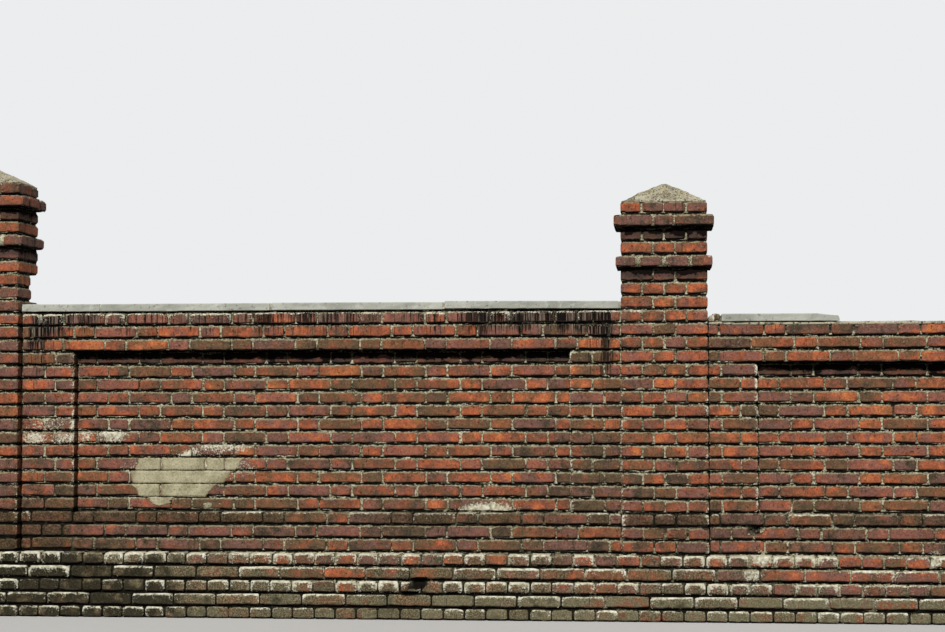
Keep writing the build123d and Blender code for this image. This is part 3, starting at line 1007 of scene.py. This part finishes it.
def build_cap(node, seed):
    """A hipped cap: the pier's outline shrinks as it rises, by shares that bulge the slopes.

    At height share h the outline has share s of its width, read off CAP_SECTIONS from eaves to
    crown. Lumps push every point in or out, and the arrises are blunt.
    """
    low, high = span(node)
    middle, half = (low + high)[:2] / 2, (high - low)[:2] / 2
    shares = np.concatenate([[1.0, 1.0], np.linspace(0.985, 0.05, 20)])
    rises, widths = np.transpose(CAP_SECTIONS)
    heights = np.interp(-shares, -widths, rises) * (high[2] - low[2] - CAP_EAVES) + CAP_EAVES
    heights[0] = 0.0
    plan, _, _ = walk_round(rectangle(low, high), ALL_ROUND, 20.0)
    from_middle = plan - middle
    blunt = 1 - 0.045 * eased(np.abs(from_middle / half).min(axis=1), 0.80, 1.0)
    grid = np.empty((1, len(shares), len(plan), 3))
    grid[0, ..., :2] = middle + from_middle * shares[:, None, None] * blunt[:, None]
    grid[0, ..., 2] = low[2] + heights[:, None]
    lump = ripple(grid, 120, seed) * 2.5 + ripple(grid, 45, seed + 1) * 2.0
    lump = lump + rng.normal(0, 1.1, lump.shape) - 3.0
    grid[..., 2] += lump * (heights > CAP_EAVES)[:, None]
    looseness = np.array([0.4] + [1.0] * 4 + [0.2] * (len(shares) - 5))[:, None, None]
    dent = np.abs(ripple(grid, 60, seed + 2) * 3.0)[..., None] * looseness
    grid[..., :2] -= dent * np.sign(from_middle)
    grid[..., 2] = np.minimum(grid[..., 2], high[2])
    cap = Form()
    cap.shells(grid, smooth=True)
    cap.make(node, "rough", cap_finish, "mortar")


def build_piers():
    """Each pier's six nodes, from the plinth up, with their wear and the depth of their joints."""
    for number, top in enumerate(PIER_COURSES, start=1):
        pier = f"pier_{number}_"
        build_lift(pier + "shaft", range(PLINTH_COURSES + 1, top - 4), 5.0, 10.0)
        build_corbel(pier + "lower_corbel", top - 4, False)
        build_lift(pier + "neck", (top - 3, top - 2), 5.0, 11.0)
        build_corbel(pier + "upper_corbel", top - 1, True)
        build_lift(pier + "top_course", (top,), 6.0, 11.0)
        build_cap(pier + "cap", 40 + number)


# Bays


def build_bay_piece(bay, bonds, piece, courses, arris, setback, recess, bare, ends):
    """A piece of a bay: street face in its own bond, garden face in one bond from pier to pier.

    Aprons and friezes are turned a course against the rest of the garden face.
    """
    (bay_left, *_), (bay_right, *_) = span(bay + "apron")
    low, high = span(bay + piece)
    turn = piece in ("apron", "frieze")
    rows = []
    for course in courses:
        street = fitted(bonds[piece][course % 2], high[0] - low[0])
        rows.append(lay(course, low[0], street, low[1], WALL_BRICK_DEPTH, bare))
        band = fitted(BAND[(course + turn) % 2], bay_right - bay_left)
        garden = lay(course, bay_left, band, high[1], -WALL_BRICK_DEPTH)
        centres = (garden[:, X0] + garden[:, X1]) / 2
        rows.append(garden[(centres > low[0]) & (centres <= high[0])])
    bricks = fire(np.concatenate(rows), arris, setback)
    make_masonry(bay + piece, bricks, wall_core(bay + piece, bare, recess, ends))


def build_bays():
    """Each bay's five masonry pieces, with what differs: wear, mortar, bare ends, foot and top."""
    for number, top in enumerate(BAY_COURSES, start=1):
        sill, head = PLINTH_COURSES + APRON_COURSES, top - FRIEZE_COURSES
        middle = range(sill + 1, head + 1)
        for details in (
            ("apron", range(PLINTH_COURSES + 1, sill + 1), 5.0, 2.0, 12.0, NEITHER, (False, True)),
            ("frieze", range(head + 1, top + 1), 5.5, 2.0, 12.0, NEITHER, (True, False)),
            ("left_lisene", middle, 5.0, 2.5, 10.0, (False, True), NEITHER),
            ("panel", middle, 5.0, 2.0, 9.0, NEITHER, NEITHER),
            ("right_lisene", middle, 5.0, 2.5, 10.0, (True, False), NEITHER),
        ):
            bonds = SECOND_BAY_BOND if number == 2 else BAY_BOND
            build_bay_piece(f"bay_{number}_", bonds, *details)


def plaster_on_panel():
    """Flakes of plaster on bay 1's panel, each a thin skin between two slanting ends.

    A ring goes along the flake's front, raised over the bricks' face and falling off at both
    ends, and back inside the bricks. Its ends run in a straight line from foot to top, ragged.
    """
    form = Form()
    face = span("bay_1_panel")[0][1]
    thickness = 2.6
    rise = np.linspace(0, 1, 9)[:, None]
    for foot, top, foot_left, foot_right, top_left, top_right, belly in FLAKES:
        count = round((top_right - top_left) / 14) + 3
        across = np.linspace(0, 1, count)
        raised = thickness * np.minimum(1, 6 * np.minimum(across, 1 - across))
        left, right = (
            start + (end - start) * rise**belly
            + rng.normal(0, 2 + 0.06 * abs(end - start), rise.shape)
            for start, end in ((foot_left, top_left), (foot_right, top_right))
        )
        grid = np.empty((1, len(rise), 2 * count, 3))
        grid[0, :, :count, 0] = left + (right - left) * across
        grid[0, :, count:, 0] = grid[0, :, count - 1::-1, 0]
        grid[0, :, :count, 1] = face + 1.5 - raised - rng.uniform(0, 0.8, (len(rise), count))
        grid[0, :, count:, 1] = face + 12
        grid[0, :, :, 2] = foot + (top - foot) * rise
        grid[0, (0, -1), :, 2] += rng.normal(0, 2.0, (2, 2 * count))
        form.shells(grid, smooth=True, under=0.0, edge=np.tile(1 - raised / thickness, 2) * 0.9)
    form.make("bay_1_panel", "plaster", plaster_finish, "mortar")


# Coping


def carried_up(corners, bare, step, profile, foot=0.0):
    """A plan's outline through the levels of a profile, each an inset and a height over foot.

    Returns the grid of points, and the outward ways round the plan.
    """
    plan, outward, _ = walk_round(corners, bare, step)
    profile = np.array(profile, float)
    grid = np.empty((1, len(profile), len(plan), 3))
    grid[0, ..., :2] = plan - profile[:, :1, None] * outward
    grid[0, ..., 2] = foot + profile[:, 1:2]
    return grid, outward


def slab(form, low, high, seed, lean, broken):
    """A coping slab: its outline carried up its side, over a worn arris and in across its top.

    It leans up towards its left end by lean. A broken slab's top falls towards its right end, and
    that end runs askew.
    """
    thick, length = high[2] - low[2], high[0] - low[0]
    profile = [(3, 0), (0, 3), (0, thick * 0.5), (0, thick - 5), (4, thick)]
    profile += [(inset, thick) for inset in (22, 60, 110, 150)]
    grid, outward = carried_up(rectangle(low, high), ALL_ROUND, 42.0, profile, low[2])
    level = np.arange(len(profile))[:, None]
    side_levels = 5
    side = level < side_levels
    worn = np.abs(ripple(grid, 50, seed)) * 1.6 + rng.gamma(0.8, 0.8, grid.shape[:3])
    grid[..., :2] -= np.where(side, worn, 0)[..., None] * outward
    grid[..., 2] += np.where(side, 0, ripple(grid, 90, seed + 1) * 0.8 - 0.8)
    if broken:
        fall = BROKEN_FALL * eased(grid[..., 0], high[0] - BROKEN_SLOPE, high[0])
        grid[..., 2] -= fall * (grid[..., 2] - low[2]) / thick
        askew = BROKEN_SKEW * (grid[..., 1] - low[1]) / (high[1] - low[1])
        askew = askew * eased(grid[..., 0], high[0] - 200, high[0])
        ragged = np.abs(ripple(grid, 70, seed + 2)) * 9 * (grid[..., 0] > high[0] - 90)
        grid[..., 0] -= askew + ragged
    grid[..., 2] += lean * (high[0] - grid[..., 0]) / length
    form.shells(grid, edge=np.where(side, 1.0, np.where(level == side_levels, 0.6, 0.2)))


def fill_joint(form, low, high):
    """Mortar between two slabs: an outline a little inside theirs, from under them to their top."""
    profile = ((6.0, low[2] + 2), (3.0, (low[2] + high[2]) / 2), (7.0, high[2] - 3.0))
    grid, outward = carried_up(rectangle(low, high), (1, 0, 1, 0), 5.0, profile)
    grid[..., 1] -= outward[:, 1] * rng.uniform(-2, 1.5, grid.shape[:3])
    grid[..., 2] += rng.uniform(-1.5, 1.5, grid.shape[:3])
    form.shells(grid)


def build_copings():
    """Slabs laid from the right pier, in bay 2 from the left one, and mortar in their joints.

    Bay 2's first slab is broken off, and its second one is gone.
    """
    pitch = SLAB_LENGTH + SLAB_GAP
    for number in range(1, BAYS + 1):
        node = f"bay_{number}_coping"
        low, high = span(node)
        if number == 2:
            first, _, third, last = low[0] + pitch * np.arange(4)
            slabs = [(first, first + BROKEN_LENGTH, 60, 0.0), (third, third + SLAB_LENGTH, 62, 0.0),
                     (last, high[0], 63, 0.0)]
            joints = [last]
        else:
            slabs = [
                (max(end - SLAB_LENGTH, low[0]), end, 70 + 10 * number + index,
                 1.5 * (index % 2) if index else 6.0)
                for index, end in enumerate(np.arange(high[0], low[0], -pitch))
            ]
            joints = [start for start, *_ in slabs[:-1]]
        form, filling = Form(), Form()
        for start, end, seed, lean in slabs:
            broken = number == 2 and start == low[0]
            slab(form, (start, *low[1:]), (end, *high[1:]), seed, lean, broken)
        for joint in (*joints, high[0] + SLAB_END_GAP):
            fill_joint(filling, (joint - SLAB_GAP - 2, *low[1:]), (joint + 2, *high[1:]))
        form.make(node, "slabs", concrete_finish, "concrete")
        filling.make(node, "joints", filling_finish, "mortar")


def rough_mortar(node, kind, corners, step, profile, lumps, **fields):
    """A mound of rough mortar: a profile's outline, sunk and drawn in by lumps.

    A level of the profile has its inset, its height, and the shares of a lump by which it sinks
    and is drawn in. The lumps are a ripple's size, seed and strength, and the grain on it.
    """
    size, seed, strength, grain = lumps
    grid, outward = carried_up(corners, ALL_ROUND, step, profile, span(node)[0][2])
    lump = np.abs(ripple(grid, size, seed)) * strength + rng.gamma(1.0, grain, grid.shape[:3])
    sunk, drawn_in = np.transpose(profile)[2:, :, None]
    grid[..., 2] -= lump * sunk
    grid[..., :2] -= (lump * drawn_in)[..., None] * outward
    form = Form()
    form.shells(grid, smooth=True, **fields)
    form.make(node, kind, bed_finish, "mortar")


def build_bare_bed():
    """Bay 2's mortar bed, rough where its slab is gone, and the brick bat beside the pier."""
    node = "bay_2_mortar_bed"
    rough_mortar(
        node, "rough", rectangle(*span(node)), 28.0,
        ((0, -6, 0, 1), (0, 5, 0, 1), (3, 11, 1, 1), (12, 15, 1, 1), (40, 15, 1, 0),
         (85, 15, 1, 0), (130, 15, 1, 0)),
        (80, 91, 3, 1.3), soot=0.0,
    )
    node = "bay_2_closer"
    low, high = span(node)
    bat = [low[0] + 24, high[0] - 6, low[1] + 5, low[1] + 125, low[2] + 1, high[2] - 4, 1, 1, 0, 1]
    fire(np.array([bat]), 7.0, bias=0.6).make(node, "bat", brick_finish, "brick")
    rough_mortar(
        node, "tie", rectangle((low[0], low[1] + 12), high), 18.0,
        ((0, 0, 0, 0.4), (1, 12, 1, 0.4), (3, 24, 1, 0.4), (7, 34, 1, 0.4), (16, 40, 1, 0.4),
         (28, 41, 1, 0.4)),
        (50, 95, 5, 1.5),
    )


build_plinth()
build_piers()
build_bays()
plaster_on_panel()
build_copings()
build_bare_bed()


# Floor, light and camera


def set_stage():
    """A plain pale floor, a soft sun on the street side, a weaker one behind, and an even sky."""
    link = bpy.context.scene.collection.objects.link
    pale = Finish("pale_floor")
    seen = pale.add("LightPath", out="Is Camera Ray")
    colour = pale.blend(seen, paint(112, 111, 108), paint(206, 205, 201))
    mesh = bpy.data.meshes.new("floor")
    mesh.from_pydata([(-90, -60, 0), (90, -60, 0), (90, 120, 0), (-90, 120, 0)], [], [(0, 1, 2, 3)])
    mesh.materials.append(pale.show(pale.add("BsdfDiffuse", {}, {"Color": colour})))
    floor = bpy.data.objects.new("floor", mesh)
    link(floor)

    sky = Finish("even_sky", world=True)
    seen = sky.add("LightPath", out="Is Camera Ray")
    colour = sky.blend(seen, (0.165, 0.168, 0.172, 1.0), paint(236, 237, 238))
    glow = sky.add("Background", {}, {"Color": colour, "Strength": 1.0})
    bpy.context.scene.world = sky.show(glow)

    for name, energy, softness, way in (
        ("soft_sun", 3.3, 2.0, (0.13, 1.0, -0.86)), ("soft_fill", 2.0, 25.0, (-0.2, -1.0, -0.6)),
    ):
        light = bpy.data.lights.new(name, "SUN")
        light.energy, light.angle = energy, math.radians(softness)
        lamp = bpy.data.objects.new(name, light)
        lamp.rotation_mode = "QUATERNION"
        lamp.rotation_quaternion = Vector(way).to_track_quat("-Z", "Y")
        link(lamp)
    bpy.context.scene.view_settings.view_transform = "Standard"


def set_camera():
    """Eye height, in front of pier 2, turned a little left and up, as in the photograph."""
    eye = (-2.080, -11.825, 1.400)
    image_width, focal_length = 945, 1970.4
    yaw, pitch, roll = (math.radians(angle) for angle in (5.56, 1.948, -0.131))
    ahead = Vector((-math.sin(yaw) * math.cos(pitch), math.cos(yaw) * math.cos(pitch),
                    math.sin(pitch)))
    right = Vector((math.cos(yaw), math.sin(yaw), 0))
    up = right.cross(ahead)
    right, up = (math.cos(roll) * right + math.sin(roll) * up,
                 math.cos(roll) * up - math.sin(roll) * right)
    data = bpy.data.cameras.new("camera")
    data.sensor_width = 36.0
    data.lens = data.sensor_width * focal_length / image_width
    camera = bpy.data.objects.new("camera", data)
    turned = Matrix((right, up, -ahead)).transposed()
    camera.matrix_world = Matrix.Translation(eye) @ turned.to_4x4()
    bpy.context.scene.collection.objects.link(camera)
    bpy.context.scene.camera = camera


set_stage()
set_camera()
